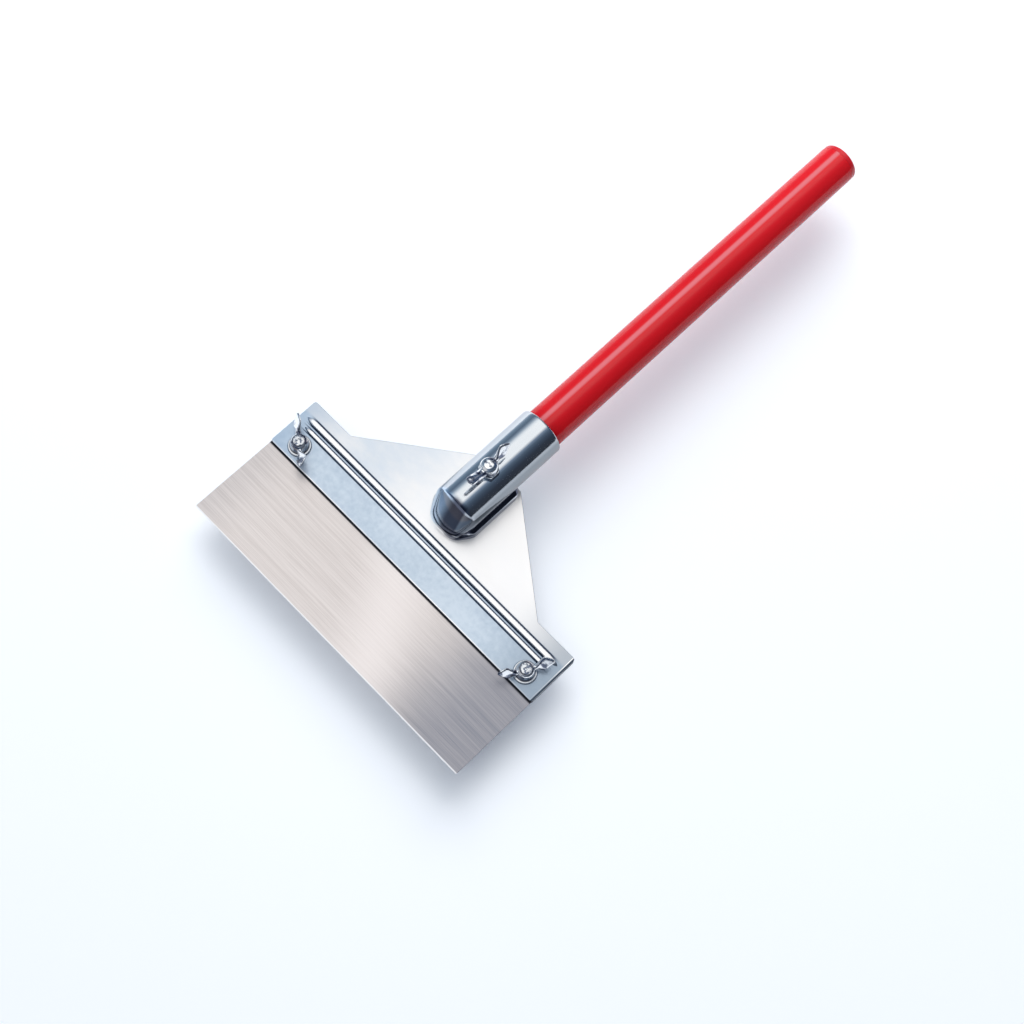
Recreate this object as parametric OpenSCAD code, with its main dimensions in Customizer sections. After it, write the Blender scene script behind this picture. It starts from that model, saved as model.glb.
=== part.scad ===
// Floor scraper: a wide steel blade clamped between two plates by two wing
// nuts, with a round handle held in a pressed socket by a wing screw.
// X runs along the blade, +Y runs towards the handle, +Z is up.
// The origin is below the middle of the tool, on the surface it lies on.

/* [Blade] */
// Width of the blade and of its holder
blade_w = 250; // [200:5:320]
// Thickness of the blade
blade_t = 2; // [1:0.1:3]
// Depth of blade that stands out of the holder
blade_out = 67.5; // [30:0.5:110]
// Depth of blade gripped inside the holder
blade_grip = 30; // [26:0.5:34]
// Depth of the ground bevel on the cutting edge
bevel_d = 3; // [1:0.5:8]
// Thickness left at the cutting edge
edge_t = 0.5; // [0.2:0.1:0.9]

/* [Holder] */
// Depth of the holder's straight band
band_d = 41; // [38:0.5:60]
// Thickness of the upper plate
plate_t = 2.5; // [2:0.1:4]
// Thickness of the lower clamp bar
bar_t = 3.5; // [3.2:0.1:6]
// Corner radius of the band
corner_r = 2; // [0.5:0.5:5]
// Half width of the tail where it leaves the band
tail_half = 90; // [60:1:95]
// Length of the tail behind the band
tail_len = 56; // [40:1:80]

/* [Pressed bead] */
// Gap from the band's rear edge to the rear ridge
bead_back = 9.5; // [6:0.5:11]
// Width of the rear ridge
ridge_rear_w = 4.8; // [3:0.2:6]
// Width of the front ridge
ridge_front_w = 3.2; // [2:0.2:4]
// Width of the valley between the ridges
valley_w = 2.2; // [1:0.2:3]
// Height of the ridges above the plate
ridge_h = 2.2; // [1:0.1:3]
// Gap from the ends of the rear ridge to the ends of the plate
ridge_inset = 5; // [3:0.5:12]

/* [Clamp bolts] */
// Distance of each bolt from the end of the blade
bolt_inset = 16.6; // [12:0.2:40]
// Distance of the bolts from the holder's front edge
bolt_back = 11; // [10:0.2:14]
// Thread diameter of the clamp bolts
bolt_d = 8; // [6:0.5:9]
// Outer diameter of the washers
washer_d = 16; // [14:0.5:20]
// Thickness of the washers
washer_t = 1.6; // [1:0.1:2.5]

/* [Wing nuts and wing screw] */
// Diameter of the hub at its foot
hub_d = 13; // [11:0.2:15]
// Diameter of the hub at its top
hub_top_d = 10.6; // [10:0.2:12]
// Height of the hub
hub_h = 8; // [6:0.5:12]
// Span over the two wings
wing_span = 39; // [30:1:48]
// Thickness of a wing
wing_t = 2.4; // [1.5:0.1:3.5]
// Angle of the left nut's wings from X
left_turn = -42; // [-180:1:180]
// Angle of the right nut's wings from X
right_turn = 57; // [-180:1:180]

/* [Socket] */
// Outer diameter of the socket tube, whose bore follows the handle
socket_d = 35; // [32:0.5:46]
// Wall of the socket's hollow nose
socket_wall = 2.4; // [1.5:0.1:2.6]
// Distance of the socket's mouth behind the band
mouth_y = 91.5; // [85:0.5:120]
// Where the round tube ends and the nose begins
nose_y = 12; // [10:0.5:20]
// Width of the flattened nose tip
nose_w = 22; // [16:0.5:26]
// Distance of the wing screw behind the band
screw_y = 40; // [34:0.5:60]

/* [Handle] */
// Outer diameter of the steel tube
tube_d = 28; // [24:0.5:30]
// Wall of the steel tube
tube_wall = 1.5; // [1:0.1:2.5]
// Thickness of the coating on the exposed length of the tube
coat_t = 0.8; // [0.3:0.1:1.2]
// Length of handle outside the socket
handle_out = 303; // [150:1:600]
// Length of handle inside the socket
handle_in = 70; // [60:1:74]
// Thickness of the end cap's head
cap_t = 4; // [3:0.5:8]
// Step from the coating in to the end cap's side
cap_step = 0.2; // [0.1:0.1:0.6]
// Length of the timber core in the lower end of the tube
core_len = 80; // [40:1:120]

/* [Clearances] */
// Radial play of a thread or a sliding fit on a shaft
play = 0.05; // [0.02:0.01:0.1]
// Gap around pieces that are only dropped in place
loose = 0.2; // [0.1:0.05:0.4]
// Gap that lets a clamped piece slide when it is slackened
slack = 0.3; // [0.3:0.05:0.6]

/* [Hidden] */
$fn = 96;
// Extra length of a cutting tool, so that it runs past the face it cuts
over = 1;
// Facets on the shapes that are blended by hull()
blend_fn = 32;

// Round sizes of the handle and of the socket around it
grip_r = tube_d / 2 + coat_t;
inner_r = tube_d / 2 - tube_wall;
bore_r = grip_r + slack;
socket_r = socket_d / 2;

// Levels from the surface upwards
blade_z = bar_t;
plate_z = bar_t + blade_t;
top_z = plate_z + plate_t;
axis_z = top_z + socket_r;

// Places along Y, taken from the band's rear edge
front_y = -band_d;
bolt_y = front_y + bolt_back;
grip_y = front_y + blade_grip;
cut_y = front_y - blade_out;
end_y = mouth_y + handle_out;
origin_y = (cut_y + end_y) / 2;
bolt_x = blade_w / 2 - bolt_inset;

// Round sizes of the bolts and of the holes they pass
thread_r = bolt_d / 2;
// A slot's side play lets the blade be set straight before it is clamped
slot_r = thread_r + loose + slack;
head_r = bolt_d * 0.95;
neck = bolt_d;
neck_h = 1.2;
head_h = bar_t - neck_h;
// Top of the conical head, wide enough to cover the square neck's corners
head_top_r = neck * 0.72;
// Length of bolt that shows above the hub when the nut is tight
bolt_show = 1.6;
bolt_top = top_z + washer_t + hub_h + bolt_show;

// Wing screw and its weld nut on top of the socket
weld_nut_h = 4;
weld_nut_af = 13;
socket_top = axis_z + socket_r;
screw_hub_z = socket_top + weld_nut_h + slack;

// Socket skirts
skirt_half = socket_r + 1;
skirt_t = 2.2;
skirt_y1 = tail_len - 2;
weld_d = 8;

// The wings: radius of their round ends, and how far they rise from hub to tip
wing_end_r = 4.6;
wing_rise = 5;

// Moves a shape from the band's rear edge to the tool's own origin
module placed() { translate([0, -origin_y, 0]) children(); }

// A round bar along +Y from y0 to y1 on the handle's axis
module along_y(r, y0, y1) {
    translate([0, y0, axis_z]) rotate([-90, 0, 0]) cylinder(r = r, h = y1 - y0);
}

// Rectangle of the band with rounded corners, seen from above
module band_outline() {
    for (x = [-1, 1]) for (y = [front_y + corner_r, -corner_r])
        translate([x * (blade_w / 2 - corner_r), y]) circle(r = corner_r);
    translate([-blade_w / 2 + corner_r, front_y]) square([blade_w - 2 * corner_r, band_d]);
    translate([-blade_w / 2, front_y + corner_r]) square([blade_w, band_d - 2 * corner_r]);
}

// Section of one ridge: an arc that stands ridge_h above a chord of width w
module ridge_section(w) {
    r = (w * w / 4 + ridge_h * ridge_h) / (2 * ridge_h);
    intersection() {
        translate([0, ridge_h - r]) circle(r = r);
        translate([-w / 2, -over]) square([w, ridge_h + 2 * over]);
    }
}

// One pressed ridge along X on the plate, centred on y, with chisel ends
module ridge(w, y, half_len) {
    difference() {
        translate([-half_len, y, top_z]) rotate([90, 0, 90]) linear_extrude(2 * half_len) ridge_section(w);
        for (s = [-1, 1])
            translate([s * half_len, y, top_z]) rotate([0, s * 55, 0])
                translate([-3 * w, -2 * w, 0]) cube([6 * w, 4 * w, 4 * ridge_h]);
    }
}

// Upper plate: straight band, tapering tail, pressed double bead
module holder_plate() {
    rear_ridge_y = -bead_back - ridge_rear_w / 2;
    front_ridge_y = -bead_back - ridge_rear_w - valley_w - ridge_front_w / 2;
    channel_w = ridge_rear_w * 0.7;
    color("lightsteelblue") placed() difference() {
        union() {
            translate([0, 0, plate_z]) linear_extrude(plate_t) {
                band_outline();
                polygon([[-tail_half - 2, -over], [-tail_half, 1.5], [-socket_r, tail_len],
                         [socket_r, tail_len], [tail_half, 1.5], [tail_half + 2, -over]]);
            }
            ridge(ridge_rear_w, rear_ridge_y, blade_w / 2 - ridge_inset);
            ridge(ridge_front_w, front_ridge_y, blade_w / 2 - ridge_inset - 4);
        }
        // Hollow side of the rear ridge, pressed up from below
        translate([-blade_w / 2 + 3 * ridge_inset, rear_ridge_y, plate_z]) rotate([90, 0, 90])
            linear_extrude(blade_w - 6 * ridge_inset) intersection() {
                circle(d = channel_w);
                translate([-channel_w / 2, -over]) square([channel_w, channel_w / 2 + over]);
            }
        for (s = [-1, 1]) translate([s * bolt_x, bolt_y, plate_z - over])
            cylinder(r = thread_r + loose, h = plate_t + 2 * over);
        for (p = weld_places()) translate([p[0], p[1], plate_z - over])
            cylinder(d = weld_d, h = plate_t + 2 * over);
    }
}

// Centres of the plug welds that hold the socket's skirts to the tail
function weld_places() = [for (s = [-1, 1]) for (k = [0, 1])
    [s * (skirt_half - weld_d / 2), nose_y + weld_d + k * (skirt_y1 - nose_y - 3 * weld_d)]];

// Lower plate, with a countersunk square hole for each bolt
module clamp_bar() {
    color("slategray") placed() difference() {
        linear_extrude(bar_t) band_outline();
        for (s = [-1, 1]) translate([s * bolt_x, bolt_y, 0]) {
            translate([0, 0, -over]) cylinder(r = head_r + play, h = over + play);
            cylinder(r1 = head_r + play, r2 = head_top_r + play, h = head_h + play);
            translate([-neck / 2 - play, -neck / 2 - play, 0]) cube([neck + 2 * play, neck + 2 * play, bar_t + over]);
        }
    }
}

// Strip that fills the gap behind the blade and stops it
module spacer_strip() {
    color("gray") placed() translate([-blade_w / 2 + corner_r, grip_y + loose, blade_z])
        cube([blade_w - 2 * corner_r, -grip_y - loose - corner_r, blade_t]);
}

// Blade, with a ground cutting edge and a slot for each bolt
module blade() {
    slot_y = bolt_y - slot_r;
    color("tan") placed() difference() {
        translate([-blade_w / 2, grip_y, blade_z]) rotate([90, 0, 90])
            linear_extrude(blade_w) polygon([[0, 0], [0, blade_t], [cut_y - grip_y, blade_t],
                [cut_y - grip_y, blade_t - edge_t], [cut_y - grip_y + bevel_d, 0]]);
        for (s = [-1, 1]) translate([s * bolt_x, 0, blade_z - over]) {
            translate([0, bolt_y, 0]) cylinder(r = slot_r, h = blade_t + 2 * over);
            translate([-slot_r, bolt_y, 0]) cube([2 * slot_r, grip_y - slot_y, blade_t + 2 * over]);
        }
    }
}

// Clamp bolt: flush conical head, square neck, threaded shank
module bolt(s) {
    color("silver") placed() translate([s * bolt_x, bolt_y, 0]) {
        cylinder(r1 = head_r, r2 = head_top_r, h = head_h);
        translate([-neck / 2, -neck / 2, 0]) cube([neck, neck, bar_t]);
        cylinder(r = thread_r, h = bolt_top - 1);
        translate([0, 0, bolt_top - 1]) cylinder(r1 = thread_r, r2 = thread_r - 1, h = 1);
    }
}
module bolt_left() { bolt(-1); }
module bolt_right() { bolt(1); }

module washer(s) {
    color("gainsboro") placed() translate([s * bolt_x, bolt_y, top_z]) difference() {
        cylinder(d = washer_d, h = washer_t);
        translate([0, 0, -over]) cylinder(r = thread_r + play, h = washer_t + 2 * over);
    }
}
module washer_left() { washer(-1); }
module washer_right() { washer(1); }

// Two wings that rise outwards from a hub of height hub_h
module wings() {
    tip = wing_span / 2 - wing_end_r;
    for (s = [0, 180]) rotate([0, 0, s]) hull() {
        translate([hub_top_d / 4, wing_t / 2, hub_h * 0.45]) rotate([90, 0, 0])
            cylinder(r = hub_h * 0.32, h = wing_t, $fn = blend_fn);
        translate([tip, wing_t / 2, hub_h * 0.45 + wing_rise]) rotate([90, 0, 0])
            cylinder(r = wing_end_r, h = wing_t, $fn = blend_fn);
    }
}

// Conical hub with its wings, its foot at z = 0
module winged_hub() {
    cylinder(d1 = hub_d, d2 = hub_top_d, h = hub_h);
    wings();
}

module wing_nut(s, turn) {
    color("whitesmoke") placed() translate([s * bolt_x, bolt_y, top_z + washer_t]) difference() {
        rotate([0, 0, turn]) winged_hub();
        translate([0, 0, -over]) cylinder(r = thread_r + play, h = hub_h + 2 * over + wing_rise + wing_end_r);
    }
}
module wing_nut_left() { wing_nut(-1, left_turn); }
module wing_nut_right() { wing_nut(1, right_turn); }

// Flattened nose of the socket, from the round tube down to its tip, and
// the same shape drawn in by the wall for its hollow
module nose(shrink) {
    tip_h = 7;
    tip_y = -3;
    tip_r = 6;
    hull() {
        along_y(socket_r - shrink, nose_y, nose_y + over, $fn = blend_fn);
        translate([-skirt_half + shrink, nose_y, top_z + shrink])
            cube([2 * skirt_half - 2 * shrink, over, socket_r - shrink]);
        for (s = [-1, 1]) translate([s * (nose_w / 2 - tip_r), tip_y + tip_r, top_z + shrink])
            cylinder(r = tip_r - shrink, h = tip_h - 2 * shrink, $fn = blend_fn);
    }
}

// Side walls that carry the tube down to the tail
module skirts() {
    for (s = [-1, 1]) translate([s * (skirt_half - skirt_t / 2), 0, top_z]) hull() {
        translate([-skirt_t / 2, nose_y, 0]) cube([skirt_t, skirt_y1 - nose_y, socket_r * 0.4]);
        translate([-skirt_t / 2, nose_y, 0]) cube([skirt_t, skirt_y1 - nose_y - 8, socket_r]);
    }
}

// Socket: tube, flattened nose and skirts, bored for the handle
module socket() {
    color("cadetblue") placed() difference() {
        union() {
            along_y(socket_r, nose_y, mouth_y);
            nose(0);
            skirts();
        }
        along_y(bore_r, nose_y, mouth_y + over);
        nose(socket_wall);
        translate([0, screw_y, axis_z]) cylinder(r = thread_r + loose, h = 2 * socket_r);
    }
}

// Round welds that fill the tail's holes below the skirts
module plug_welds() {
    color("dimgray") placed() for (p = weld_places()) translate([p[0], p[1], plate_z])
        cylinder(d = weld_d, h = plate_t);
}

// Hexagon nut welded over the socket's screw hole
module weld_nut() {
    color("gray") placed() difference() {
        translate([0, screw_y, axis_z]) rotate([0, 0, 30])
            cylinder(d = weld_nut_af / cos(30), h = socket_r + weld_nut_h, $fn = 6);
        along_y(socket_r, nose_y, mouth_y);
        translate([0, screw_y, axis_z]) cylinder(r = thread_r + play, h = 2 * socket_r);
    }
}

// Wing screw: winged hub on a threaded shank that bears on the handle
module wing_screw() {
    tip_z = axis_z + tube_d / 2 + slack;
    color("whitesmoke") placed() translate([0, screw_y, 0]) {
        translate([0, 0, screw_hub_z]) rotate([0, 0, 90]) winged_hub();
        translate([0, 0, screw_hub_z + hub_h]) cylinder(d1 = hub_top_d, d2 = hub_top_d * 0.7, h = 1.2);
        translate([0, 0, tip_z]) cylinder(r = thread_r, h = screw_hub_z - tip_z + over);
    }
}

handle_y = mouth_y - handle_in;

// Steel tube of the handle
module handle_tube() {
    color("silver") placed() difference() {
        along_y(tube_d / 2, handle_y, end_y - cap_t);
        along_y(inner_r, handle_y - over, end_y);
    }
}

// Red coating on the tube, stripped where the tube enters the socket
module handle_coat() {
    color("red") placed() difference() {
        along_y(grip_r, mouth_y, end_y - cap_t);
        along_y(tube_d / 2, mouth_y - over, end_y);
    }
}

// End cap: a flat head with a rounded rim, and a plug that fills the tube
module end_cap() {
    rim_r = 1.2;
    cap_r = grip_r - cap_step;
    plug_len = 18;
    color("firebrick") placed() translate([0, end_y, axis_z]) rotate([90, 0, 0]) {
        rotate_extrude() {
            square([cap_r - rim_r, rim_r]);
            translate([0, rim_r]) square([cap_r, cap_t - rim_r]);
            intersection() {
                translate([cap_r - rim_r, rim_r]) circle(r = rim_r);
                square([cap_r, cap_t]);
            }
        }
        translate([0, 0, cap_t]) cylinder(r = inner_r, h = plug_len);
    }
}

// Timber core that keeps the screw from crushing the tube
module tube_core() {
    color("burlywood") placed() along_y(inner_r, handle_y, handle_y + core_len);
}

holder_plate();
clamp_bar();
spacer_strip();
blade();
bolt_left();
bolt_right();
washer_left();
washer_right();
wing_nut_left();
wing_nut_right();
socket();
plug_welds();
weld_nut();
wing_screw();
handle_tube();
handle_coat();
end_cap();
tube_core();
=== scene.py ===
import bmesh
import bpy
from math import atan2, cos, pi, radians, sin, sqrt
from mathutils import Euler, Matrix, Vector


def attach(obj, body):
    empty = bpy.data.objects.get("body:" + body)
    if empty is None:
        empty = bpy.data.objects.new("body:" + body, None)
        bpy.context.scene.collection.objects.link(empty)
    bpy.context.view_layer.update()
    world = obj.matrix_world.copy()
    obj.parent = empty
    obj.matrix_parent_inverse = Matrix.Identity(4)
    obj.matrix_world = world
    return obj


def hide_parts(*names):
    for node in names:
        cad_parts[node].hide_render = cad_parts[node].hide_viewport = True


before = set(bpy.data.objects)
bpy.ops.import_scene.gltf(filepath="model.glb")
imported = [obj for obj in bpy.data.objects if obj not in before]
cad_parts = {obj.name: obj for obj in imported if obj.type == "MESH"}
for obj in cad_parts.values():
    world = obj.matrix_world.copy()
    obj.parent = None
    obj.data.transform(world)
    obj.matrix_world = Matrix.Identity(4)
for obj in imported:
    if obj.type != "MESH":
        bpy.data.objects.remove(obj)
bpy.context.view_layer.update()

# ---------------------------------------------------------------- view
# The tool is seen from above and from its front right, with the handle
# running up to the right. Lengths are in metres.
scene = bpy.context.scene
camera = bpy.data.objects.new("camera", bpy.data.cameras.new("camera"))
scene.collection.objects.link(camera)
camera.location = (0.25383, -0.42548, 1.14969)
camera.rotation_euler = Euler([radians(a) for a in (18.878, -3.471, 45.429)], "XYZ")
camera.data.lens = 63.28
camera.data.sensor_width = 36
camera.data.dof.use_dof = False
scene.camera = camera
scene.view_settings.view_transform = "Standard"


# ---------------------------------------------------------------- studio floor
# A wide sheet of white paper a little below the tool, so that the tool's
# shadow falls soft and to one side. It isn't part of the tool.
class Wire:
    """A socket in a material's tree that can be used in arithmetic."""

    def __init__(self, tree, socket=None):
        self.tree = tree
        self.socket = socket

    def node(self, kind, settings=None, values=None, out=0):
        made = self.tree.nodes.new(kind)
        for name, value in (settings or {}).items():
            if name == "stops":
                ends = made.color_ramp.elements
                ends[0].position, ends[1].position = value[0][0], value[-1][0]
                for place, _ in value[1:-1]:
                    ends.new(place)
                for element, (_, colour) in zip(ends, value):
                    element.color = (*colour, 1)
            else:
                setattr(made, name, value)
        for name, value in (values or {}).items():
            if isinstance(value, Wire):
                self.tree.links.new(value.socket, made.inputs[name])
            else:
                made.inputs[name].default_value = value
        return Wire(self.tree, made.outputs[out] if made.outputs else None)

    def maths(self, operation, a, b=0.0, c=0.0):
        return self.node("ShaderNodeMath", {"operation": operation}, {0: a, 1: b, 2: c})

    def __add__(self, other):
        return self.maths("ADD", self, other)

    def __sub__(self, other):
        return self.maths("SUBTRACT", self, other)

    def __mul__(self, other):
        return self.maths("MULTIPLY", self, other)

    def __truediv__(self, other):
        return self.maths("DIVIDE", self, other)

    def __rsub__(self, other):
        return self.maths("SUBTRACT", other, self)

    __radd__ = __add__
    __rmul__ = __mul__

    def step(self, low, high):
        """0 below low, 1 above high, and smooth between."""
        return self.node("ShaderNodeMapRange", {"interpolation_type": "SMOOTHSTEP"},
                         {"Value": self, "From Min": low, "From Max": high})

    def mix(self, first, second):
        """The first colour where this is 0 and the second where it is 1."""
        pick = {0: self}
        for slot, colour in ((6, first), (7, second)):
            pick[slot] = colour if isinstance(colour, Wire) else (*colour, 1)
        return self.node("ShaderNodeMix", {"data_type": "RGBA"}, pick, 2)


def material(name):
    """A new material: its tree, the place on the piece, and the place's X, Y and Z."""
    made = bpy.data.materials.new(name)
    made.use_nodes = True
    made.node_tree.nodes.clear()
    tree = Wire(made.node_tree)
    place = tree.node("ShaderNodeTexCoord", out="Object")
    split = place.node("ShaderNodeSeparateXYZ", None, {0: place}).socket.node
    return made, tree, place, [Wire(made.node_tree, split.outputs[i]) for i in range(3)]


def cloud(place, scale, stretch=(1, 1, 1), detail=3.0, rough=0.5):
    """Noise from 0 to 1, with scale in features per metre."""
    at = place.node("ShaderNodeMapping", None, {"Vector": place, "Scale": stretch})
    return at.node("ShaderNodeTexNoise", None,
                   {"Vector": at, "Scale": scale, "Detail": detail, "Roughness": rough})


def bumped(height, strength, depth):
    """A normal from a height, whose full range is depth metres."""
    return height.node("ShaderNodeBump", None,
                       {"Height": height, "Strength": strength, "Distance": depth})


def surface(tree, values):
    """Ends a material in one shader with these sockets."""
    shader = tree.node("ShaderNodeBsdfPrincipled", None, values)
    tree.node("ShaderNodeOutputMaterial", None, {"Surface": shader})


def mesh_piece(name, verts, faces, crease=32):
    """An object at the origin, smooth but for edges sharper than crease degrees."""
    mesh = bpy.data.meshes.new(name)
    mesh.from_pydata(verts, [], faces)
    made = bpy.data.objects.new(name, mesh)
    scene.collection.objects.link(made)
    tidy(made, crease)
    return made


def tidy(piece, crease=32):
    """Merges doubles, turns faces outwards and sets which edges stay sharp."""
    shape = bmesh.new()
    shape.from_mesh(piece.data)
    bmesh.ops.remove_doubles(shape, verts=shape.verts, dist=1e-7)
    bmesh.ops.recalc_face_normals(shape, faces=shape.faces)
    shape.to_mesh(piece.data)
    shape.free()
    piece.data.shade_smooth()
    piece.data.set_sharp_from_angle(angle=radians(crease))


paper, tree, place, _ = material("white_paper")
grain = cloud(place, 900)
surface(tree, {"Base Color": cloud(place, 1.5).mix((0.84, 0.89, 0.96), (0.88, 0.92, 0.97)),
               "Roughness": 0.9, "Normal": bumped(grain, 0.05, 0.0002),
               "Emission Color": (0.92, 0.96, 1, 1), "Emission Strength": 0.13})
floor_z = -0.022
floor = mesh_piece("studio_floor", [(x, y, floor_z) for x, y in ((-9, -9), (9, -9), (9, 9), (-9, 9))],
                   [(0, 1, 2, 3)])
floor.data.materials.append(paper)

# ---------------------------------------------------------------- studio light
# A long overhead softbox with darker cards at its sides, which give bright
# plated metal its stripes, and a soft key light from behind on the left.
world = bpy.data.worlds.new("studio")
scene.world = world
world.use_nodes = True
world.node_tree.nodes.clear()
air = Wire(world.node_tree)
ray = air.node("ShaderNodeTexCoord", out="Generated")
parts = ray.node("ShaderNodeSeparateXYZ", None, {0: ray}).socket.node
side, ahead, up = [Wire(world.node_tree, parts.outputs[i]) for i in range(3)]
# 0 at the floor on the left, 0.5 overhead, 1 at the floor on the right
sweep = air.maths("ARCTAN2", side, up) / (2 * pi) + 0.5
# The studio's colour by its tilt from straight up, in degrees to the right
white = (1.0, 1.0, 1.0)
left_wall = [(-180, (0.78, 0.84, 0.92)), (-96, (0.60, 0.68, 0.80))]
left_card = [(-80, (0.17, 0.24, 0.32)), (-62, (0.10, 0.14, 0.20)), (-50, (0.27, 0.34, 0.42))]
softbox = [(-36, (0.84, 0.87, 0.90)), (-28, white), (9, white)]
right_card = [(20, (0.19, 0.25, 0.34)), (31, (0.085, 0.12, 0.17)), (44, (0.05, 0.07, 0.105)),
              (62, (0.03, 0.038, 0.055)), (92, (0.032, 0.038, 0.05))]
right_wall = [(106, (0.30, 0.33, 0.35)), (130, (0.70, 0.74, 0.78))]
stops = [(tilt / 360 + 0.5, c) for tilt, c in left_wall + left_card + softbox + right_card + right_wall]
colour = air.node("ShaderNodeValToRGB", {"stops": stops}, {0: sweep})
# Dark cards before and behind
cards = ahead.step(0.52, 0.66) * 0.9 + (0 - ahead).step(0.42, 0.62) * 0.6
colour = cards.mix(colour, (0.03, 0.05, 0.10))
# A low view sees a pale wall behind the floor in place of the cards
seen = air.node("ShaderNodeLightPath", out="Is Camera Ray")
colour = seen.mix(colour, (0.72, 0.76, 0.80))
light = air.node("ShaderNodeBackground", None, {"Color": colour, "Strength": 1.28})
air.node("ShaderNodeOutputWorld", None, {"Surface": light})

lamps = [("key", (-0.95, 1.05, 1.5), 39, 1.9), ("fill", (0.9, -1.5, 1.9), 3, 1.6)]
for name, at, watts, width in lamps:
    lamp = bpy.data.objects.new(name, bpy.data.lights.new(name, "AREA"))
    scene.collection.objects.link(lamp)
    lamp.location = at
    lamp.rotation_euler = (Vector((0, -0.08, 0)) - Vector(at)).to_track_quat("-Z", "Y").to_euler()
    lamp.data.energy = watts
    lamp.data.size = width
    lamp.data.color = (1.0, 0.965, 0.92)
    lamp.visible_glossy = False

# ---------------------------------------------------------------- clamp bar
# The lower jaw: a flat strip of galvanised steel, 3.5 mm thick, sheared to
# length and punched for the square necks of the two flush bolts.
mm = 0.001
band_x, front_y, rear_y = 0.125, -0.184, -0.143
bar_z, blade_z, top_z = 0.0035, 0.0055, 0.008
bolt_x, bolt_y = 0.1084, -0.173
# The middle and the width of the two beads on the upper jaw
rear_bead, front_bead = (rear_y - 11.9 * mm, 5.2 * mm), (rear_y - 18.1 * mm, 3.7 * mm)


def rounded(points, radius, steps=6):
    """A closed outline whose corners are rounded, from its corner points."""
    outline = []
    for i, here in enumerate(points):
        before, after = Vector(points[i - 1]), Vector(points[(i + 1) % len(points)])
        here = Vector(here)
        a, b = (before - here).normalized(), (after - here).normalized()
        half = a.angle(b) / 2
        reach = min(radius / max(sin(half) / cos(half), 1e-6), (before - here).length / 2,
                    (after - here).length / 2)
        for k in range(steps + 1):
            t = k / steps
            outline.append(here + a * reach * (1 - t) ** 2 + b * reach * t ** 2)
    return outline


def slab(name, outline, low, high):
    """A flat plate between two heights, cut to an outline."""
    count = len(outline)
    verts = [(p[0], p[1], z) for z in (low, high) for p in outline]
    faces = [tuple(range(count))[::-1], tuple(range(count, 2 * count))]
    faces += [(i, (i + 1) % count, count + (i + 1) % count, count + i) for i in range(count)]
    return mesh_piece(name, verts, faces)


def rings(name, loops, closed_ends=True, crease=32):
    """A skin over a row of equal loops of points."""
    count = len(loops[0])
    verts = [p for loop in loops for p in loop]
    faces = []
    for k in range(len(loops) - 1):
        for i in range(count):
            j = (i + 1) % count
            faces.append((k * count + i, k * count + j, (k + 1) * count + j, (k + 1) * count + i))
    if closed_ends:
        faces.append(tuple(range(count))[::-1])
        faces.append(tuple(range(len(verts) - count, len(verts))))
    return mesh_piece(name, verts, faces, crease)


def turned(name, profile, at=(0, 0, 0), along="Z", count=64, crease=32):
    """A turned shape from (radius, height) pairs, solid between its end rings."""
    loops = []
    for radius, height in profile:
        loop = []
        for i in range(count):
            a = 2 * pi * i / count
            u, v = radius * cos(a), radius * sin(a)
            loop.append((at[0] + u, at[1] + v, at[2] + height) if along == "Z"
                        else (at[0] + u, at[1] + height, at[2] + v))
        loops.append(loop)
    return rings(name, loops, True, crease)


def bake(piece):
    """Applies a piece's modifiers and keeps the result as its mesh."""
    graph = bpy.context.evaluated_depsgraph_get()
    made = bpy.data.meshes.new_from_object(piece.evaluated_get(graph))
    piece.modifiers.clear()
    piece.data = made


def settle(piece, crease=32):
    """Bakes a piece and cleans its mesh."""
    bake(piece)
    tidy(piece, crease)


def carve(piece, tool, operation="DIFFERENCE"):
    """Cuts a tool out of a piece, or joins the two, and throws the tool away."""
    cut = piece.modifiers.new("cut", "BOOLEAN")
    cut.operation = operation
    cut.solver = "EXACT"
    cut.object = tool
    settle(piece)
    bpy.data.objects.remove(tool)


def soften(piece, width, segments=3, angle=40):
    """Rounds a piece's sharp edges, as deburring does."""
    edge = piece.modifiers.new("edges", "BEVEL")
    edge.width = width
    edge.segments = segments
    edge.limit_method = "ANGLE"
    edge.angle_limit = radians(angle)
    flat = piece.modifiers.new("flat", "WEIGHTED_NORMAL")
    flat.weight = 100
    bake(piece)


def dress(piece, look):
    """Gives a piece or a CAD node one material."""
    piece.data.materials.clear()
    piece.data.materials.append(look)


def from_bolt(x, y):
    """How far a place is from the axis of the bolt on its side."""
    across, along = x.maths("ABSOLUTE", x) - bolt_x, y - bolt_y
    return x.maths("SQRT", across * across + along * along)


def finish_piece(piece, look, body, slot, *nodes):
    """Gives a piece its material and its place in the assembly."""
    dress(piece, look)
    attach(piece, body)
    if nodes:
        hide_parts(*nodes)


galvanised, tree, place, (x, y, z) = material("galvanised_sheet")
spangle = cloud(place, 55, (1, 1.6, 1), 4, 0.6)
mottle = cloud(place, 260, (1, 1, 1), 3)
smear = cloud(place, 14, (0.7, 1.5, 1), 3)
rolled = cloud(place, 420, (0.12, 1, 1), 2)
tail = y.step(rear_y - 10.5 * mm, rear_y - 7.5 * mm)
# Painted reflection: the band is painted a darker blue than the tail, and the tail is painted whiter
# towards the right
band = (smear * 0.6 + mottle * 0.4).step(0.3, 0.7).mix((0.41, 0.50, 0.60), (0.57, 0.65, 0.735))
back = (smear * 0.7 + spangle * 0.3).step(0.34, 0.62).mix((0.60, 0.66, 0.73), (0.79, 0.79, 0.79))
back = (x.step(-0.07, 0.01) * 0.85).mix(back, (0.90, 0.89, 0.885))
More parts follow.
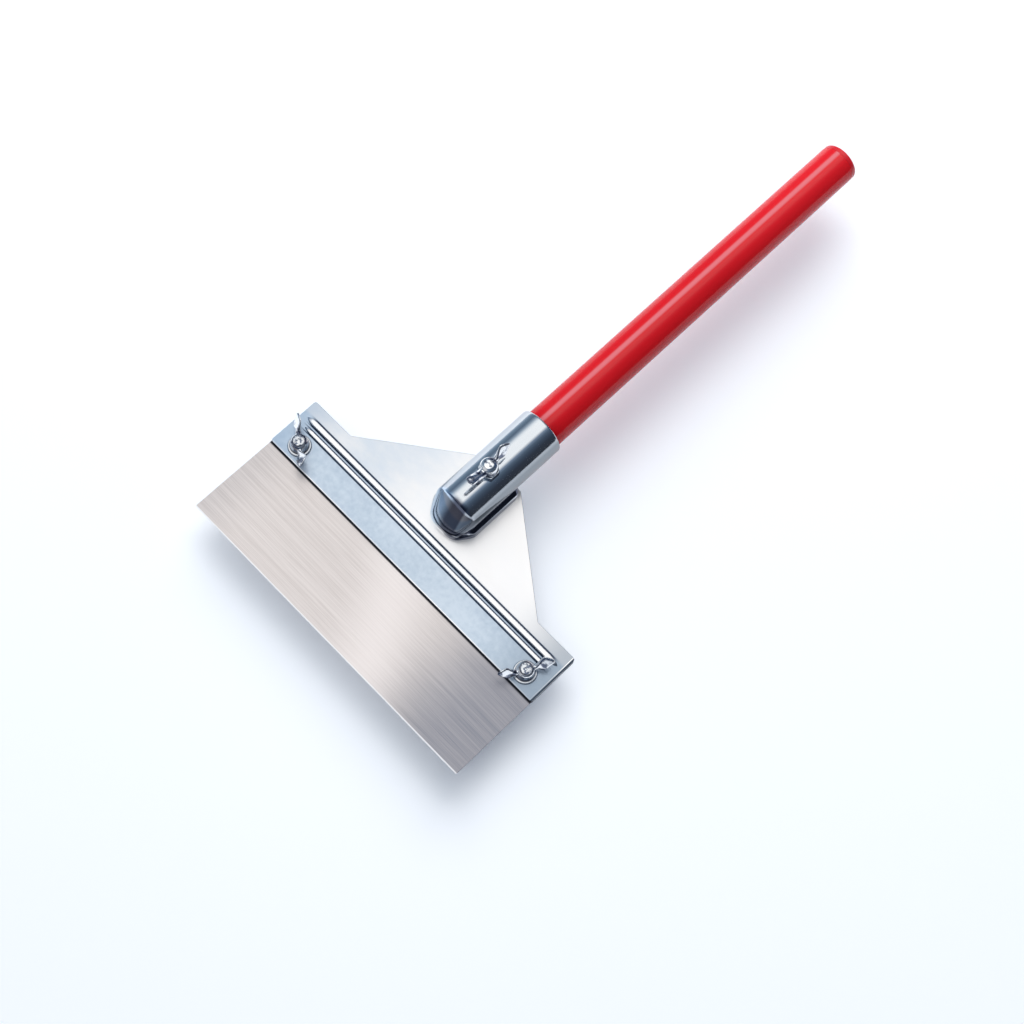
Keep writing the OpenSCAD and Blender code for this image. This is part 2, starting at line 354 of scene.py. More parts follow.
# Painted highlight on the beads' crests, and painted shade along their feet
height, off_middle = z - top_z, x.maths("ABSOLUTE", x)
on_top = height.step(-0.2 * mm, 0)
foot = height.step(0.02 * mm, 0.2 * mm) * (1 - height.step(0.6 * mm, 1.2 * mm))
for (centre, width), dirt in ((rear_bead, (1.2, 0.8)), (front_bead, (0.8, 0.7))):
    for s, reach in zip((1, -1), dirt):
        off = y.maths("ABSOLUTE", y - (centre + s * width / 2))
        foot = foot + (1 - off.step(reach * 0.3 * mm, reach * 0.8 * mm)) * on_top
foot = foot.maths("MINIMUM", foot, 1.0) * (1 - height.step(0.8 * mm, 1.4 * mm))
foot = foot * (1 - off_middle.step(0.112, 0.120))
# Painted shade: both ends of the band are painted darker, the left one bluer
plain = (x.step(0.070, 0.125) * 0.72).mix(tail.mix(band, back), (0.25, 0.31, 0.38))
plain = ((0 - x).step(0.085, 0.130) * 0.6).mix(plain, (0.27, 0.38, 0.52))
painted_highlight = height.step(1.0 * mm, 1.6 * mm).mix(plain, (0.95, 0.955, 0.96))
sheet = foot.mix(painted_highlight, (0.025, 0.045, 0.09))
# The sheared edges are painted dark, partly for their bare steel and partly as painted shade, which at the
# right end reaches onto the top; their upper corners carry a painted highlight
inward, corner = y - front_y, height.step(-0.5 * mm, -0.2 * mm)
front_cut = (1 - inward.step(0.1 * mm, 0.4 * mm)) * (1 - corner)
right_cut = x.step(band_x - 1.4 * mm, band_x - 1.0 * mm)
left_cut = (0 - x).step(band_x - 0.5 * mm, band_x - 0.2 * mm) * (1 - corner)
tail_cut = tail * z.step(blade_z + 0.1 * mm, blade_z + 0.3 * mm) * (1 - height.step(-0.1 * mm, 0)) * 0.75
cut = front_cut + right_cut + left_cut + tail_cut
cut = cut.maths("MINIMUM", cut, 1.0)
painted_edge_highlight = x.step(band_x - 2.0 * mm, band_x - 1.6 * mm) + (1 - inward.step(0.5 * mm, 1.0 * mm))
painted_edge_highlight = painted_edge_highlight * height.step(-0.4 * mm, -0.2 * mm)
painted_edge_highlight = painted_edge_highlight.maths("MINIMUM", painted_edge_highlight, 1.0) * smear.step(0.25, 0.6)
# A ring of painted shade lies round each washer, where it meets the sheet
away = from_bolt(x, y)
painted_ring_shade = away.step(7.7 * mm, 8.0 * mm) * (1 - away.step(8.1 * mm, 8.5 * mm))
painted_ring_shade = painted_ring_shade * height.step(-0.3 * mm, -0.1 * mm)
sheet = (painted_ring_shade * 0.8).mix(painted_edge_highlight.mix(sheet, (0.97, 0.97, 0.98)), (0.05, 0.07, 0.11))
surface(tree, {"Base Color": cut.mix(sheet, (0.05, 0.07, 0.10)), "Metallic": 0.85,
               "Roughness": 0.28 + 0.12 * spangle,
               "Normal": bumped(rolled * 0.5 + mottle * 0.5, 0.06, 0.0001)})

band_corners = [(-band_x, front_y), (band_x, front_y), (band_x, rear_y), (-band_x, rear_y)]
clamp_bar = slab("clamp_bar_sheet", rounded(band_corners, 2 * mm), 0, bar_z)
for s in (-1, 1):
    carve(clamp_bar, turned("sink", [(7.65 * mm, -1 * mm), (7.65 * mm, 0), (5.81 * mm, 2.35 * mm)],
                            (s * bolt_x, bolt_y, 0)))
    half = 4.05 * mm
    square = [(s * bolt_x + a * half, bolt_y + b * half) for a, b in ((-1, -1), (1, -1), (1, 1), (-1, 1))]
    carve(clamp_bar, slab("neck_hole", square, -0.001, 0.005))
soften(clamp_bar, 0.3 * mm)
finish_piece(clamp_bar, galvanised, "head", "galvanised_sheet", "clamp_bar")

# ---------------------------------------------------------------- spacer strip
# A strip of the blade's own thickness that closes the gap behind it and
# stops it. It is the same sheet, and is spot welded to the lower jaw.
dress(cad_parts["spacer_strip"], galvanised)

# ---------------------------------------------------------------- blade
# Hardened strip steel, 2 mm thick, ground along its length, with a bevelled
# cutting edge below and a slot round each bolt so that it slides in and out.
blade_back, cut_y = -0.154, -0.2515

ground, tree, place, (x, y, z) = material("ground_blade_steel")
bow = cloud(place, 9, (1, 0.4, 1), 1) * 0.0006
streaks = place.node("ShaderNodeCombineXYZ", None, {0: x * 0.012, 1: y + bow, 2: z * 0.2})
coarse = cloud(streaks, 620, (1, 1, 1), 2)
fine = cloud(streaks, 2600, (1, 1, 1), 3)
lines = coarse * 0.4 + fine * 0.6
# Painted light: the middle is painted brightest, with a painted glow, and the right end and the left corner
# are painted darker
painted_shade = x.step(0.015, 0.115) * 0.95 + (0 - x).step(0.075, 0.135) * 0.35
painted_shade = (painted_shade + (cloud(place, 11) - 0.5) * 0.3).step(0, 1)
lit_steel = lines.step(0.28, 0.7).mix((0.59, 0.54, 0.52), (0.78, 0.725, 0.70))
painted_glow = 1 - x.maths("ABSOLUTE", x - 0.012 + (y + 0.2) * 0.5).step(0.0, 0.045)
lit_steel = (painted_glow * 0.5).mix(lit_steel, (0.95, 0.89, 0.87))
shaded_steel = lines.step(0.28, 0.7).mix((0.25, 0.26, 0.30), (0.40, 0.39, 0.42))
# A painted highlight: a pale line along the cutting edge
edge = (0 - y).step(-cut_y - 1.2 * mm, -cut_y - 0.4 * mm)
# A painted shadow lies as a near-black line where the blade leaves the upper jaw, and what the jaws cover
# is darker
inward = y - front_y
painted_gap_shadow = inward.step(-1.7 * mm, -0.7 * mm) * (1 - inward.step(1.0 * mm, 2.2 * mm))
covered = inward.step(-0.5 * mm, 0.5 * mm) * (0.35 + 0.3 * lines)
steel = covered.mix(painted_shade.mix(lit_steel, shaded_steel), (0.17, 0.18, 0.20))
steel = painted_gap_shadow.mix(steel, (0.02, 0.022, 0.03))
surface(tree, {"Base Color": edge.mix(steel, (0.9, 0.9, 0.92)),
               "Metallic": 0.9, "Roughness": 0.33 + 0.16 * lines,
               "Normal": bumped(lines, 0.25, 0.00006)})

section = [(blade_back, bar_z), (blade_back, blade_z), (cut_y, blade_z), (cut_y, blade_z - 0.5 * mm),
           (cut_y + 3 * mm, bar_z)]
blade = rings("blade_strip", [[(end, *p) for p in section] for end in (-band_x, band_x)])
for s in (-1, 1):
    slot_r = 4.5 * mm
    notch = [(s * bolt_x + slot_r * cos(pi + pi * k / 24), bolt_y + slot_r * sin(pi + pi * k / 24))
             for k in range(25)]
    notch += [(s * bolt_x + slot_r, blade_back + mm), (s * bolt_x - slot_r, blade_back + mm)]
    carve(blade, slab("slot", notch, bar_z - mm, blade_z + mm))
soften(blade, 0.12 * mm, 2)
finish_piece(blade, ground, "blade", "blade_steel", "blade")

# ---------------------------------------------------------------- holder plate
# The upper jaw and the tail are one pressing of galvanised sheet. Two beads
# are pressed up along the band to stiffen it, with pointed run-outs.
tail_end = -0.087
outline = [(-band_x, front_y), (band_x, front_y), (band_x, rear_y), (0.0903, rear_y), (0.0175, tail_end),
           (-0.0175, tail_end), (-0.0903, rear_y), (-band_x, rear_y)]
holder = slab("holder_sheet", rounded(outline, 2 * mm), blade_z, top_z)
for s in (-1, 1):
    carve(holder, turned("bolt_hole", [(4.2 * mm, -mm), (4.2 * mm, 5 * mm)], (s * bolt_x, bolt_y, blade_z)))
weld_places = [(s * 14.5 * mm, rear_y + k * mm) for s in (-1, 1) for k in (20, 38)]
for p in weld_places:
    carve(holder, turned("weld_hole", [(4 * mm, -mm), (4 * mm, 5 * mm)], (*p, blade_z)))
soften(holder, 0.35 * mm)


def smooth(low, high, value):
    t = min(1.0, max(0.0, (value - low) / (high - low)))
    return t * t * (3 - 2 * t)


def bead(name, centre, width, height, half_length, count=26):
    """A pressed ridge with filleted feet, whose ends run out to a point."""
    loops = []
    run = 6 * mm
    for k in range(61):
        u = -1 + 2 * k / 60
        place_x = half_length * (sin(pi / 2 * u) * 0.5 + u * 0.5)
        left = half_length - abs(place_x)
        grown = min(1.0, max(left / run, 0.0))
        tall = height * (grown * (2 - grown)) ** 0.8
        wide = width * (0.12 + 0.88 * grown ** 0.7) / 2
        loop = []
        for i in range(count + 1):
            v = -1 + 2 * i / count
            rise = 0.88 * smooth(1.0, 0.52, abs(v)) + 0.12 * (1 - v * v)
            loop.append((place_x, centre + v * wide, top_z - 0.05 * mm + tall * rise))
        loop += [(place_x, centre + wide, top_z - 0.6 * mm), (place_x, centre - wide, top_z - 0.6 * mm)]
        loops.append(loop)
    return rings(name, loops, True, 60)


beads = [bead("rear_bead", *rear_bead, 2.2 * mm, 0.120), bead("front_bead", *front_bead, 2.0 * mm, 0.116)]
for ridge in beads:
    finish_piece(ridge, galvanised, "head", "galvanised_sheet")
finish_piece(holder, galvanised, "head", "galvanised_sheet", "holder_plate")

# ---------------------------------------------------------------- plug welds
# Four holes in the tail are filled with weld from below, and hold down the
# socket's skirts. The weld is left rough, slightly domed and heat-stained.
weld, tree, place, (x, y, z) = material("weld_metal")
ripple = cloud(place, 900, (1, 1, 1), 4)
heat = cloud(place, 160)
surface(tree, {"Base Color": heat.step(0.35, 0.65).mix((0.20, 0.19, 0.20), (0.42, 0.40, 0.38)),
               "Metallic": 0.8, "Roughness": 0.4 + 0.3 * ripple,
               "Normal": bumped(ripple, 0.6, 0.0003)})
dress(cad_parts["plug_welds"], weld)

# ---------------------------------------------------------------- socket
# Pressed from tube and bright plated: round at the mouth for the handle,
# with skirts down to the tail and a nose squeezed flat over the band.
axis_z, tube_r, bore = 0.0255, 0.0175, 0.0151
mouth_y, nose_y = -0.0515, -0.131
# Where the nose's end begins to round off, and where it ends
round_y, round_run = -0.1415, 4 * mm
tip_y = round_y - round_run
skirt_y, skirt_run = -0.085, 8 * mm
# Section of a skirt: angle below the axis, then X and Z from the axis in mm
flange = [(25, 15.86, -7.4), (44, 19.4, -10.9), (62, 19.5, -17.5), (90, 0, -17.5)]

plated, tree, place, (x, y, z) = material("bright_plated")
wave = cloud(place, 60, (1, 0.3, 1), 2)
haze = cloud(place, 420, (1, 0.25, 1), 3)
# Painted reflection: the plating is painted darker down the sides, darkest on the right, and over the nose
# and down the skirts pale blue on the left and near-black on the right, lighter on the nose's right facet;
# painted highlights lie along the skirts' shoulders and the nose's lip
sound = wave.step(0.3, 0.7).mix((0.62, 0.655, 0.69), (0.70, 0.725, 0.75))
painted_side_shade = x.step(-0.006, 0.006).mix((0.48, 0.52, 0.56), (0.27, 0.295, 0.32))
height, past_nose, past_skirt = z - top_z, nose_y - y, skirt_y - y
sides = (1 - height.step(25 * mm, 31 * mm)).mix(sound, painted_side_shade)
squeezed = past_nose.step(-2.5 * mm, 1.5 * mm)
skirted = (1 - height.step(9.5 * mm, 11 * mm)) * past_skirt.step(1 * mm, 5 * mm)
squeezed = squeezed.maths("MAXIMUM", squeezed, skirted)
painted_nose_reflection = (x + wave * 0.004).step(-0.0065, 0.0025).mix((0.66, 0.80, 0.95), (0.10, 0.11, 0.15))
right_facet = x.step(8.5 * mm, 10.5 * mm) * height.step(10.5 * mm, 12.5 * mm)
painted_nose_reflection = (right_facet * 0.7).mix(painted_nose_reflection, (0.66, 0.70, 0.74))
shoulder = height.step(5.8 * mm, 6.2 * mm) * (1 - height.step(6.7 * mm, 7.1 * mm))
shoulder = shoulder * past_skirt.step(5 * mm, 9 * mm) * x.maths("ABSOLUTE", x).step(8.5 * mm, 10.5 * mm)
lip = past_nose.step(8.5 * mm, 11.5 * mm) * (1 - height.step(1.4 * mm, 2.4 * mm))
lip = lip * (1 - x.step(1 * mm, 5 * mm))
painted_highlight = shoulder.maths("MAXIMUM", shoulder, lip)
surface(tree, {"Base Color": (painted_highlight * 0.8).mix(squeezed.mix(sides, painted_nose_reflection), (0.92, 0.94, 0.96)),
               "Metallic": 1.0, "Roughness": 0.08 + 0.06 * haze,
               "Normal": bumped(wave, 0.06, 0.0003)})


def socket_loop(at_y, count=128):
    """The socket's outside at one place along it."""
    skirt = smooth(skirt_y, skirt_y - skirt_run, at_y)
    nose = min(1.0, max(0.0, (nose_y - at_y) / (nose_y - tip_y)))
    # The nose sets off gently from the tube and comes in to a rounded end
    flat = (sqrt(nose * nose + 0.04) - 0.2) / (sqrt(1.04) - 0.2)
    past = min(1.0, max(0.0, (round_y - at_y) / round_run))
    end_half = 11 - 5.5 * (1 - sqrt(1 - past * past))
    loop = []
    for i in range(count):
        a = 2 * pi * i / count
        c, s = cos(a), sin(a)
        px, pz = tube_r * c, tube_r * s
        if s < sin(radians(-25)) and skirt > 0:
            down = -atan2(s, abs(c))
            for (a0, x0, z0), (a1, x1, z1) in zip(flange, flange[1:]):
                if radians(a0) <= down <= radians(a1) + 1e-6:
                    k = (down - radians(a0)) / radians(a1 - a0)
                    qx, qz = (x0 + (x1 - x0) * k) * mm * (1 if c > 0 else -1), (z0 + (z1 - z0) * k) * mm
                    break
            px, pz = px + (qx - px) * skirt, pz + (qz - pz) * skirt
        drop = min(1.0, max(0.0, -atan2(s, abs(c)) / radians(62)))
        end_x = end_half * mm * (c if s > 0 else min(1.0, max(-1.0, c / cos(radians(62)))))
        end_z = (2 + 4 * s if s > 0 else 2 * (1 - drop)) * mm
        loop.append((px + (end_x - px) * flat, at_y, top_z + (pz + tube_r) * (1 - flat) + end_z * flat))
    return loop


def ring(radius, at_y, count=128):
    return [(radius * cos(2 * pi * i / count), at_y, axis_z + radius * sin(2 * pi * i / count))
            for i in range(count)]


stations = [round_y - round_run * cos(pi / 2 * k / 20) for k in range(21)]
stations += [round_y + k * 0.35 * mm for k in range(1, 31)]
stations += [nose_y + k * 1.0 * mm for k in range(1, 78)]
loops = [socket_loop(s) for s in stations if s < mouth_y - 1.2 * mm]
loops += [ring(tube_r, mouth_y - 0.8 * mm), ring(tube_r - 0.25 * mm, mouth_y - 0.2 * mm),
          ring(tube_r - 0.8 * mm, mouth_y), ring(bore + 0.5 * mm, mouth_y), ring(bore, mouth_y - 0.5 * mm)]
loops += [ring(bore, nose_y + 2 * mm)]
socket = rings("socket_shell", loops, True, 65)
screw_y = -0.103
carve(socket, turned("screw_hole", [(4.2 * mm, 0), (4.2 * mm, 0.03)], (0, screw_y, axis_z)))
tidy(socket, 65)
finish_piece(socket, plated, "head", "bright_plated_socket", "socket")

# ---------------------------------------------------------------- weld nut
# An M8 hexagon nut welded over the socket's screw hole, with chamfered
# corners. The socket and the nut are plated together.
hexagon = [(7.5 * mm * cos(pi / 3 * k + pi / 6), screw_y + 7.5 * mm * sin(pi / 3 * k + pi / 6))
           for k in range(6)]
weld_nut = slab("weld_nut_hex", hexagon, 0.036, 0.047)
lathe = turned("nut_chamfer", [(9 * mm, -0.012), (9 * mm, -1.6 * mm), (6.3 * mm, 0)], (0, screw_y, 0.047))
carve(weld_nut, lathe, "INTERSECT")
carve(weld_nut, turned("tube_saddle", [(tube_r + 0.02 * mm, -0.02), (tube_r + 0.02 * mm, 0.02)],
                       (0, screw_y, axis_z), "Y", 128))
carve(weld_nut, turned("nut_bore", [(4.05 * mm, -0.03), (4.05 * mm, 0.01)], (0, screw_y, 0.047)))
soften(weld_nut, 0.15 * mm, 2)
finish_piece(weld_nut, plated, "head", "bright_plated_socket", "weld_nut")

# ---------------------------------------------------------------- handle
# A 28 mm steel tube, bare where it enters the socket, with a timber core in
# its lower end so that the screw can't crush it.
bare, tree, place, (x, y, z) = material("bare_tube")
drawn = cloud(place, 700, (1, 0.04, 1), 3)
surface(tree, {"Base Color": drawn.mix((0.50, 0.52, 0.54), (0.68, 0.70, 0.72)), "Metallic": 1.0,
               "Roughness": 0.25 + 0.15 * drawn, "Normal": bumped(drawn, 0.2, 0.00005)})
dress(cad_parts["handle_tube"], bare)

timber, tree, place, (x, y, z) = material("core_timber")
fibre = cloud(place, 500, (1, 0.05, 1), 4)
growth = cloud(place, 120, (1, 0.08, 1), 2)
surface(tree, {"Base Color": (fibre * 0.5 + growth * 0.5).mix((0.36, 0.22, 0.11), (0.66, 0.47, 0.27)),
               "Roughness": 0.65 + 0.15 * fibre, "Normal": bumped(fibre, 0.4, 0.0002)})
dress(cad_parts["tube_core"], timber)

# ---------------------------------------------------------------- handle coating
# Glossy red plastic over the whole exposed length, drawn on hot, with a
# faint orange peel and a few hairline scuffs from use.
end_y = 0.2515
grip_r = 14.8 * mm
coated, tree, place, (x, y, z) = material("red_coating")
peel = cloud(place, 700, (1, 0.5, 1), 2)
scuff = cloud(place, 300, (1, 0.06, 1), 4, 0.65).step(0.64, 0.72)
tone = cloud(place, 12, (1, 0.3, 1), 2)
# A painted highlight: a paler streak along the top, a little to the left
lift = z - axis_z
painted_streak = 1 - x.maths("ABSOLUTE", x + 2.4 * mm).step(0.6 * mm, 2.5 * mm)
painted_streak = painted_streak * lift.step(8.5 * mm, 12.5 * mm)
red = tone.step(0.3, 0.7).mix((0.57, 0.007, 0.012), (0.67, 0.011, 0.018))
surface(tree, {"Base Color": (painted_streak * 0.95).mix(red, (0.68, 0.155, 0.18)),
               "Roughness": 0.10 + 0.10 * scuff + 0.04 * peel, "Specular IOR Level": 0.22,
               "Coat Weight": 0.22 * lift.step(4.5 * mm, 11.5 * mm), "Coat Roughness": 0.05,
               "Normal": bumped(peel, 0.06, 0.0001)})
coat = turned("handle_coating", [(14.0 * mm, mouth_y), (grip_r - 0.25 * mm, mouth_y),
                                 (grip_r, mouth_y + 0.3 * mm)]
              + [(grip_r, mouth_y + (0.299 - 0.6 * mm) * k / 30 + 0.3 * mm) for k in range(1, 31)]
              + [(14.0 * mm, end_y - 4 * mm)], (0, 0, axis_z), "Y", 96, 50)
finish_piece(coat, coated, "handle", "red_coating", "handle_coat")

# ---------------------------------------------------------------- end cap
# A red moulded plug with a flat head and a rounded rim, pressed into the
# open end of the tube.
moulded, tree, place, (x, y, z) = material("red_cap")
grain = cloud(place, 1100, (1, 1, 1), 3)
surface(tree, {"Base Color": cloud(place, 60).mix((0.56, 0.010, 0.018), (0.66, 0.014, 0.024)),
               "Roughness": 0.24 + 0.1 * grain, "Normal": bumped(grain, 0.12, 0.0001)})
cap_r, rim = 14.6 * mm, 1.6 * mm
profile = [(12.4 * mm, end_y - 22 * mm), (12.4 * mm, end_y - 4 * mm), (cap_r, end_y - 4 * mm),
           (cap_r, end_y - rim)]
profile += [(cap_r - rim + rim * cos(pi / 2 * k / 8), end_y - rim + rim * sin(pi / 2 * k / 8))
            for k in range(1, 9)]
profile += [(5 * mm, end_y), (1 * mm, end_y)]
cap = turned("end_cap_moulding", profile, (0, 0, axis_z), "Y", 96, 50)
finish_piece(cap, moulded, "handle", "red_cap", "end_cap")

# ---------------------------------------------------------------- bolts
# Two M8 zinc-plated bolts with flush conical heads and square necks come up
# through the jaws. Their threads stand just above the wing nuts.
zinc, tree, place, (x, y, z) = material("bright_zinc")
speck = cloud(place, 1400, (1, 1, 1), 3)
dull = cloud(place, 240)
# Painted shade in a ring round the foot of each nut
away = from_bolt(x, y)
painted_ring_shade = away.step(6.1 * mm, 6.4 * mm) * (1 - away.step(6.7 * mm, 7.3 * mm)) * z.step(9.0 * mm, 9.4 * mm)
clean = dull.mix((0.62, 0.64, 0.66), (0.86, 0.88, 0.90))
# The staked ends are blotched dark
end_blotch = cloud(place, 420, (1, 1, 1), 2).step(0.49, 0.53) * z.step(17.6 * mm, 18.2 * mm)
clean = (end_blotch * 0.9).mix(clean, (0.10, 0.13, 0.20))
surface(tree, {"Base Color": (painted_ring_shade * 0.85).mix(clean, (0.04, 0.05, 0.08)), "Metallic": 1.0,
               "Roughness": 0.22 + 0.16 * speck, "Normal": bumped(speck, 0.15, 0.00006)})

thread = bpy.data.node_groups.new("screw_thread", "GeometryNodeTree")
for name, value in (("Pitch", 1.25 * mm), ("Length", 0.01), ("Depth", 0.5 * mm), ("Radius", 3.55 * mm)):
    made = thread.interface.new_socket(name, in_out="INPUT", socket_type="NodeSocketFloat")
    made.default_value = value
thread.interface.new_socket("Finish", in_out="INPUT", socket_type="NodeSocketMaterial")
thread.interface.new_socket("Geometry", in_out="OUTPUT", socket_type="NodeSocketGeometry")
turns = Wire(thread)
given_by = {s.name: Wire(thread, s) for s in thread.nodes.new("NodeGroupInput").outputs}
helix = turns.node("GeometryNodeCurveSpiral", None,
                   {"Resolution": 40, "Rotations": given_by["Length"] / given_by["Pitch"],
                    "Start Radius": given_by["Radius"], "End Radius": given_by["Radius"],
                    "Height": given_by["Length"]})
tooth = turns.node("GeometryNodeCurvePrimitiveCircle", {"mode": "RADIUS"},
                   {"Resolution": 4, "Radius": given_by["Depth"]})
wound = turns.node("GeometryNodeCurveToMesh", None,
                   {"Curve": helix, "Profile Curve": tooth, "Fill Caps": True})
real = turns.node("GeometryNodeRealizeInstances", None, {"Geometry": wound})
dressed = turns.node("GeometryNodeSetMaterial", None, {"Geometry": real, "Material": given_by["Finish"]})
thread.links.new(dressed.socket, thread.nodes.new("NodeGroupOutput").inputs[0])


def threaded(name, at, low, high, radius=4 * mm):
    """A coil of thread round an upright shank between two heights."""
    coil_of = mesh_piece(name, [(0, 0, 0), (mm, 0, 0), (0, mm, 0)], [(0, 1, 2)])
    grow = coil_of.modifiers.new("thread", "NODES")
    grow.node_group = thread
    ids = {i.name: i.identifier for i in thread.interface.items_tree if i.item_type == "SOCKET"}
    grow[ids["Pitch"]] = 1.25 * mm
    grow[ids["Length"]] = high - low
    grow[ids["Depth"]] = 0.45 * mm
    grow[ids["Radius"]] = radius - 0.45 * mm
    grow[ids["Finish"]] = zinc
    settle(coil_of)
    for v in coil_of.data.vertices:
        v.co += Vector((*at, low))
    return coil_of


def joined(first, *others):
    """Puts several shells in one piece."""
    shape = bmesh.new()
    for each in (first, *others):
        shape.from_mesh(each.data)
    shape.to_mesh(first.data)
    shape.free()
    for each in others:
        bpy.data.objects.remove(each)
    tidy(first, 40)
    return first


for side_name, s in (("left", -1), ("right", 1)):
    at = (s * bolt_x, bolt_y)
    cone = [(7.45 * mm, 0), (7.6 * mm, 0.15 * mm), (5.76 * mm, 2.3 * mm)]
    stem = [(3.6 * mm, 2.3 * mm), (3.6 * mm, 17.8 * mm), (3.95 * mm, 18.2 * mm), (3.7 * mm, 18.75 * mm),
            (2.4 * mm, 19.1 * mm), (0.5 * mm, 19.2 * mm)]
    head = turned(f"bolt_{side_name}_shank", cone + stem, (*at, 0), count=48)
    square = [(at[0] + a * 4 * mm, at[1] + b * 4 * mm) for a, b in ((-1, -1), (1, -1), (1, 1), (-1, 1))]
    neck = slab(f"neck_{side_name}", square, 2.2 * mm, 3.5 * mm)
    coil = threaded(f"coil_{side_name}", at, 6.5 * mm, 17.9 * mm)
    # The end is staked with two chisel cuts, so that the nut stays on
    for cut_turn in (35, 105):
        c, d = cos(radians(cut_turn)), s * sin(radians(cut_turn))
        corners = ((-1.2, -0.7), (3.8, -0.45), (3.8, 0.45), (-1.2, 0.7))
        carve(head, slab("stake", [(at[0] + (u * c - v * d) * mm, at[1] + (u * d + v * c) * mm)
                                   for u, v in corners], 18.1 * mm, 20 * mm))
    finish_piece(joined(head, neck, coil), zinc, "head", "zinc_fastener", f"bolt_{side_name}")

# ---------------------------------------------------------------- washers
# Stamped zinc-plated washers, rounded over on the punched side, that stay
# with the wing nuts when these are slackened.
edge_line = [(4.05, 0.2), (4.25, 0), (7.8, 0), (8.0, 0.2), (8.0, 1.15), (7.87, 1.45), (7.55, 1.6),
             (4.4, 1.6), (4.05, 1.35)]
for side_name, s in (("left", -1), ("right", 1)):
    loops = []
    for radius, rise in edge_line + edge_line[:1]:
        r = radius * mm
        loops.append([(s * bolt_x + r * cos(2 * pi * i / 72), bolt_y + r * sin(2 * pi * i / 72),
                       top_z + rise * mm) for i in range(72)])
    washer = rings(f"washer_{side_name}_ring", loops, False, 45)
    finish_piece(washer, zinc, f"washer_{side_name}", "zinc_fastener", f"washer_{side_name}")

# ---------------------------------------------------------------- wing nuts
# Cast and bright plated, with a lumpy hub and two leaf-shaped wings that
# rise outwards and are dished on their faces. Each turns on its bolt and
# was left standing at its own angle.
cast, tree, place, (x, y, z) = material("bright_casting")
lumps = cloud(place, 210, (1, 1, 1), 2)
pores = cloud(place, 1800, (1, 1, 1), 2)
# Painted shade at the hub's foot and round the bolt in its bore
away = from_bolt(x, y)
at_foot = (1 - z.step(10.4 * mm, 12.2 * mm)) * (1 - away.step(7.2 * mm, 7.8 * mm))
painted_hub_shade = (1 - away.step(4.4 * mm, 5.0 * mm)) + at_foot
painted_hub_shade = painted_hub_shade.maths("MINIMUM", painted_hub_shade, 1.0)
metal = lumps.step(0.36, 0.52).mix((0.15, 0.17, 0.23), (0.94, 0.95, 0.96))
surface(tree, {"Base Color": (painted_hub_shade * 0.9).mix(metal, (0.05, 0.06, 0.09)), "Metallic": 1.0,
               "Roughness": 0.12 + 0.12 * pores, "Normal": bumped(lumps * 0.8 + pores * 0.2, 0.12, 0.0004)})


def wing(name, direction, curl, lean, finger=False):
    """One cast wing, from inside the hub out to its tip: a leaf, or a plain finger."""
    loops = []
    for k in range(25):
        u = k / 24
        reach = (2.5 + 17 * u) * mm
        tall = (2.2 + 1.1 * (1 - u) ** 6 + 2.1 * sin(pi * u ** 1.25) ** 3 - 1.6 * u ** 6) * mm
        thick = (2.3 - 0.95 * smooth(0.1, 0.6, u)) * mm
        if finger:
            tall, thick = (2.6 - 0.5 * u) * mm, (3.1 + 0.4 * u) * mm
        closing = sqrt(max(1e-3, 1 - max(0.0, (u - 0.88) / 0.12) ** 2))
        tall, thick = tall * closing, thick * closing
        middle = (3.6 + 7.0 * smooth(0, 0.95, u)) * mm
        sway = curl * sin(pi * u * 0.8) * mm
        loop = []
        for i in range(28):
            a = 2 * pi * i / 28
            h, w = sin(a), cos(a)
            dish = 1 if finger else 1 - 0.42 * (1 - h * h) * smooth(0.3, 0.6, u)
            px, py = reach, sway + w * thick * dish + lean * h * tall * smooth(0.15, 0.6, u)
            loop.append((direction * px, direction * py, middle + h * tall))
        loops.append(loop)
    return rings(name, loops, True, 80)


# For each wing: its side, how far it curls, and how far it leans over
leaves = ((1, 1.3, 0.8), (-1, 0.9, -0.6))


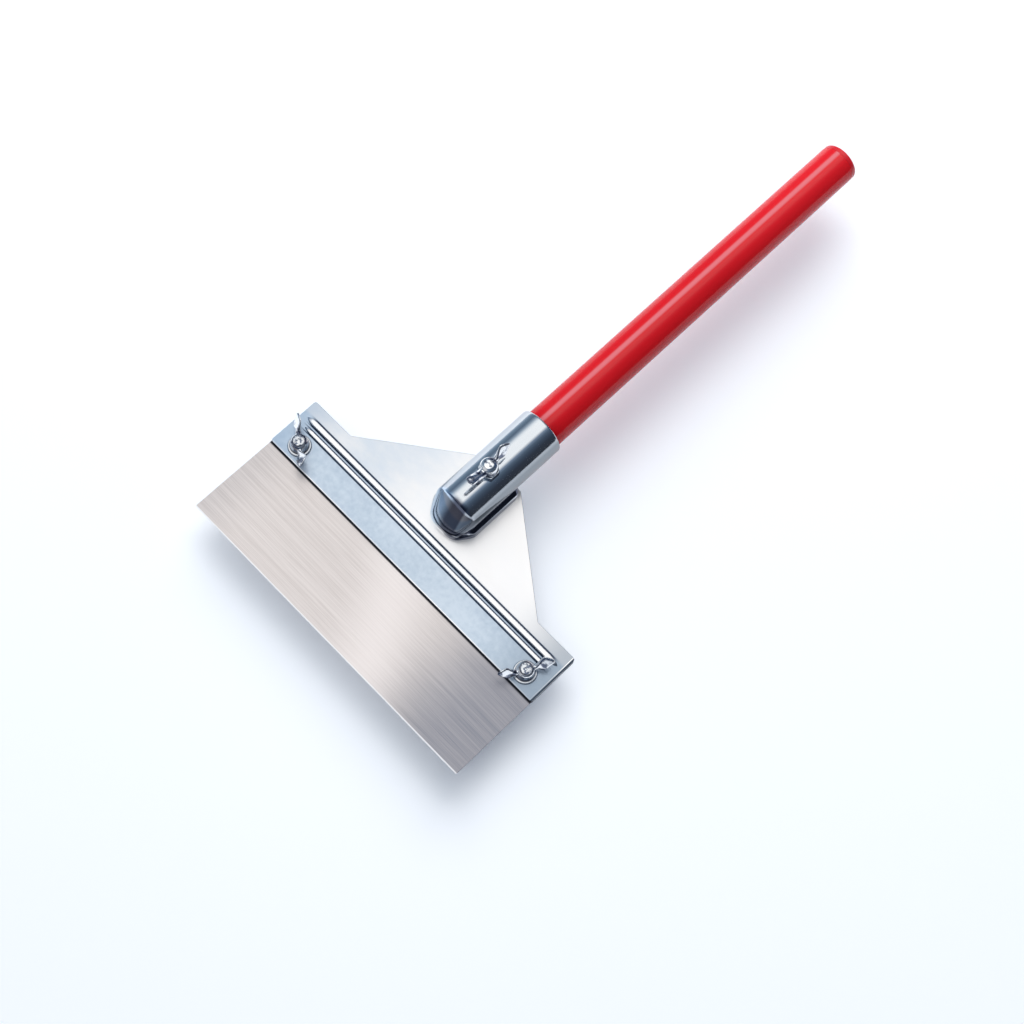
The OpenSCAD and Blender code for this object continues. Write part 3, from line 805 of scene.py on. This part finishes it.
def cast_hub(name, at, low, turn, bored, dome, wings=leaves):
    """A hub and its wings melted into one casting, with its foot at low."""
    top = 8.0 * mm
    profile = [(6.4 * mm, 0), (6.5 * mm, 0.4 * mm), (6.4 * mm, 2.6 * mm), (6.1 * mm, 5.2 * mm),
               (5.8 * mm, 6.7 * mm), (5.1 * mm, 7.7 * mm), (4.4 * mm, top)]
    if dome:
        profile += [(3.2 * mm, top + 0.8 * mm), (1.2 * mm, top + 1.2 * mm)]
    hub = turned(name, profile, count=48)
    for sign, *shape in wings:
        carve(hub, wing("wing", sign, *shape), "UNION")
    melt = hub.modifiers.new("melt", "REMESH")
    melt.mode = "VOXEL"
    melt.voxel_size = 0.38 * mm
    even = hub.modifiers.new("even", "SMOOTH")
    even.factor = 0.5
    even.iterations = 4
    settle(hub, 70)
    if bored:
        carve(hub, turned("bore", [(4.06 * mm, -mm), (4.06 * mm, 0.02)], count=48))
        tidy(hub, 55)
    c, s = cos(radians(turn)), sin(radians(turn))
    for v in hub.data.vertices:
        v.co = (at[0] + v.co.x * c - v.co.y * s, at[1] + v.co.x * s + v.co.y * c, low + max(v.co.z, 0))
    return hub


for side_name, s, turn in (("left", -1, -42), ("right", 1, 57)):
    at = (s * bolt_x, bolt_y)
    nut = cast_hub(f"wing_nut_{side_name}_casting", at, top_z + 1.6 * mm, turn, True, False)
    finish_piece(nut, cast, f"wing_nut_{side_name}", "bright_casting", f"wing_nut_{side_name}")

# ---------------------------------------------------------------- wing screw
# A casting like the nuts', with a closed, domed hub, one wing drawn out to
# a plain finger, and an M8 shank. It goes through the weld nut and bears on
# the bare tube to hold the handle.
screw_head = cast_hub("wing_screw_casting", (0, screw_y), 47.3 * mm, 90, False, True,
                      ((1, 0.9, 0.6), (-1, 0.5, 0.0, True)))
shank = turned("shank", [(3.6 * mm, 39.8 * mm), (3.6 * mm, 49.5 * mm)], (0, screw_y, 0), count=48)
coil = threaded("screw_coil", (0, screw_y), 40.3 * mm, 47.2 * mm)
finish_piece(joined(screw_head, shank, coil), cast, "wing_screw", "bright_casting", "wing_screw")
